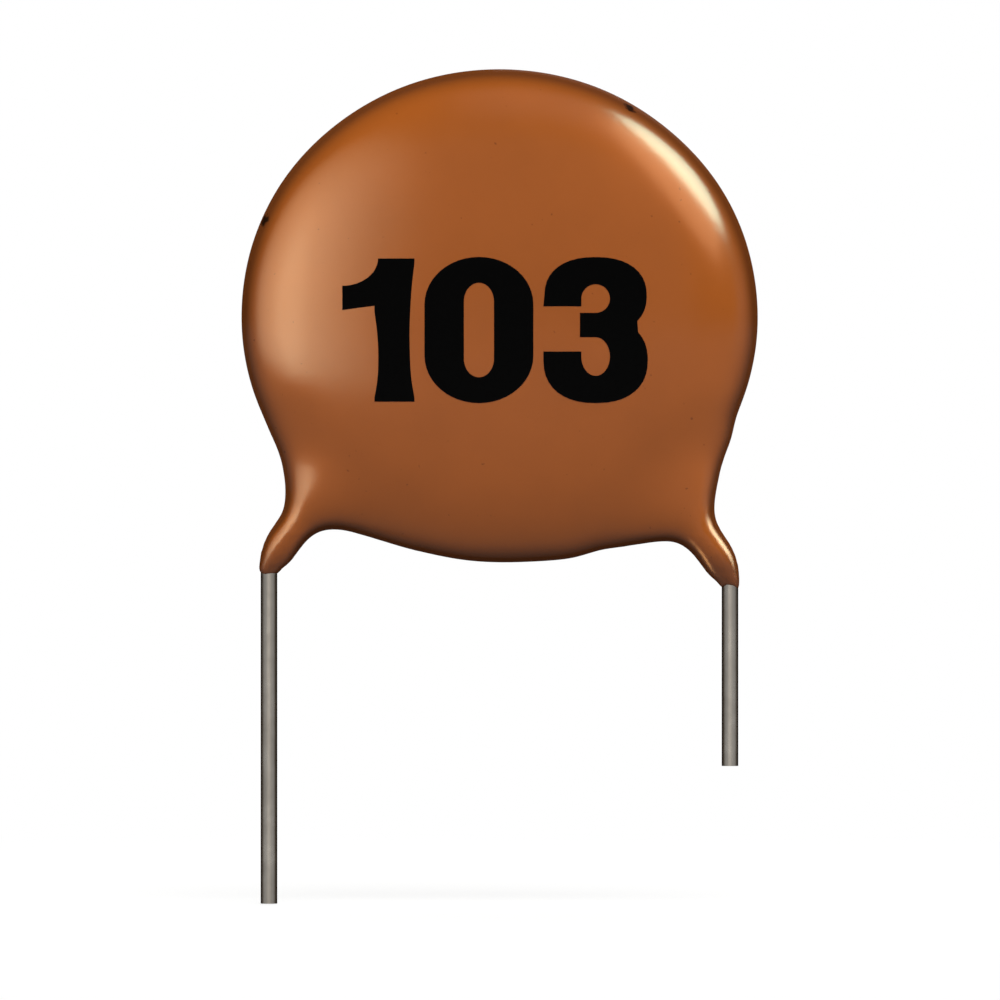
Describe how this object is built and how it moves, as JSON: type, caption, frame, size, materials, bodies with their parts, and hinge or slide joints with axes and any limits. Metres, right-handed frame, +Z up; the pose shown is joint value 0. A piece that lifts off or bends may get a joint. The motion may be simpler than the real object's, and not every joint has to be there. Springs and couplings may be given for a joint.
{
  "type": "ceramic disc capacitor",
  "caption": "Radial ceramic disc capacitor: a domed, resin-dipped disc with feet running down onto round, bent and cut wire leads for a through-hole board.",
  "frame": {"origin": "midway between the two leads, on the seating plane at the end of the lower resin foot", "axes": "+X along the lead pitch from the long lead to the short one, -Y out of the printed front, +Z up, away from the board"},
  "size_m": [0.014, 0.004, 0.0226],
  "materials": {
    "resin": "brown dipped phenolic resin, waxed to a soft gloss",
    "tinned_wire": "tinned wire, dull bright",
    "ceramic": "fired, matt",
    "silver_film": "fired silver film, matt",
    "solder": "bright solder"
  },
  "bodies": {
    "root": {"coating": "resin", "left_lead": "tinned_wire", "right_lead": "tinned_wire", "ceramic_disc": "ceramic", "front_electrode": "silver_film", "rear_electrode": "silver_film", "front_solder": "solder", "rear_solder": "solder"}
  },
  "joints": []
}
